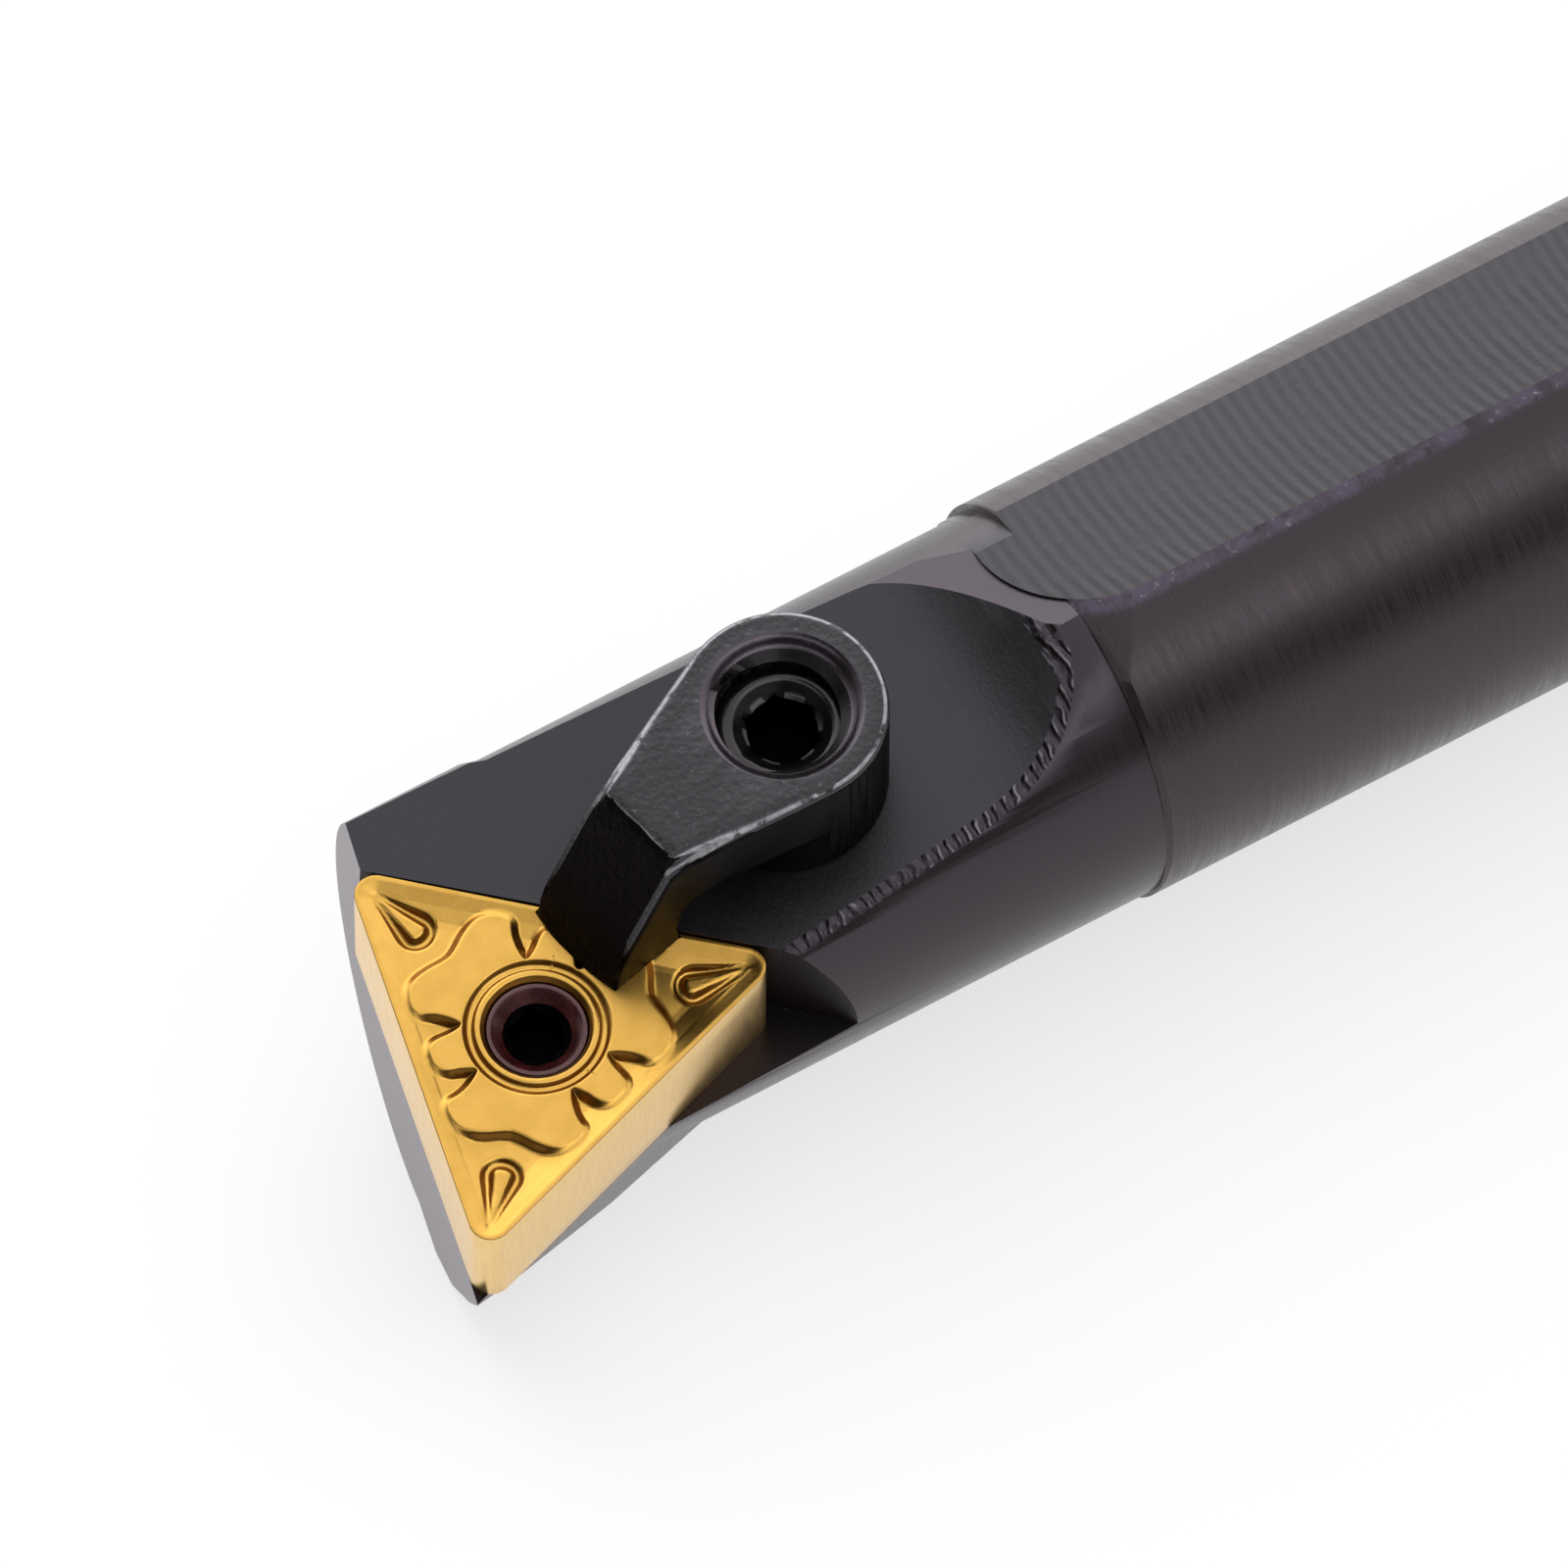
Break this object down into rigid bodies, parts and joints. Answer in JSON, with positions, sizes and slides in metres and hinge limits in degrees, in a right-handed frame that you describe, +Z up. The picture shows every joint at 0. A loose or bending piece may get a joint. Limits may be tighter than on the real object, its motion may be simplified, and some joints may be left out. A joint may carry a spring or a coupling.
{
  "type": "internal turning tool holder",
  "caption": "Round-shank internal turning tool holder with a triangular indexable insert on a centre pin and a finger clamp.",
  "frame": {"origin": "on the shank axis at the shoulder where the head begins, which is the front end of the clamping length", "axes": "+X along the shank towards the cutting end, +Y towards the cutting tip, +Z up, square to the clamping flats and out of the upper one"},
  "size_m": [0.18, 0.0189, 0.02],
  "materials": {
    "bar_steel": "black-oxided turned and milled steel, satin",
    "insert_coating": "gold hard coating on pressed carbide, satin",
    "pin_steel": "oiled oxide-brown hardened steel",
    "clamp_steel": "black-oxided forged steel, worn bright on the edges",
    "screw_steel": "black-oxided screw steel"
  },
  "bodies": {
    "bar": {"bar_body": "bar_steel", "insert": "insert_coating"},
    "clamp": {"clamp": "clamp_steel"},
    "clamp_screw": {"clamp_screw": "screw_steel"},
    "lock_pin": {"lock_pin": "pin_steel"}
  },
  "joints": [
    {"name": "clamp_lift", "type": "slide", "parent": "bar", "child": "clamp", "axis": [0.0788, 0.3018, 0.9501], "range_m": [0, 0.0048]},
    {"name": "clamp_screw_turn", "type": "hinge", "parent": "clamp", "child": "clamp_screw", "pos_m": [0.01206, 0.0014, 0.00472], "axis": [0.0788, 0.3018, 0.9501], "range_deg": [0, 1081]},
    {"name": "lock_pin_turn", "type": "hinge", "parent": "bar", "child": "lock_pin", "pos_m": [0.02485, 0.00478, 0.00258], "axis": [0.0788, 0.3018, 0.9501], "range_deg": [0, 360]}
  ],
  "couplings": [
    {"joint": "clamp_screw_turn", "follows": "clamp_lift", "rad_per_m": 3927}
  ]
}
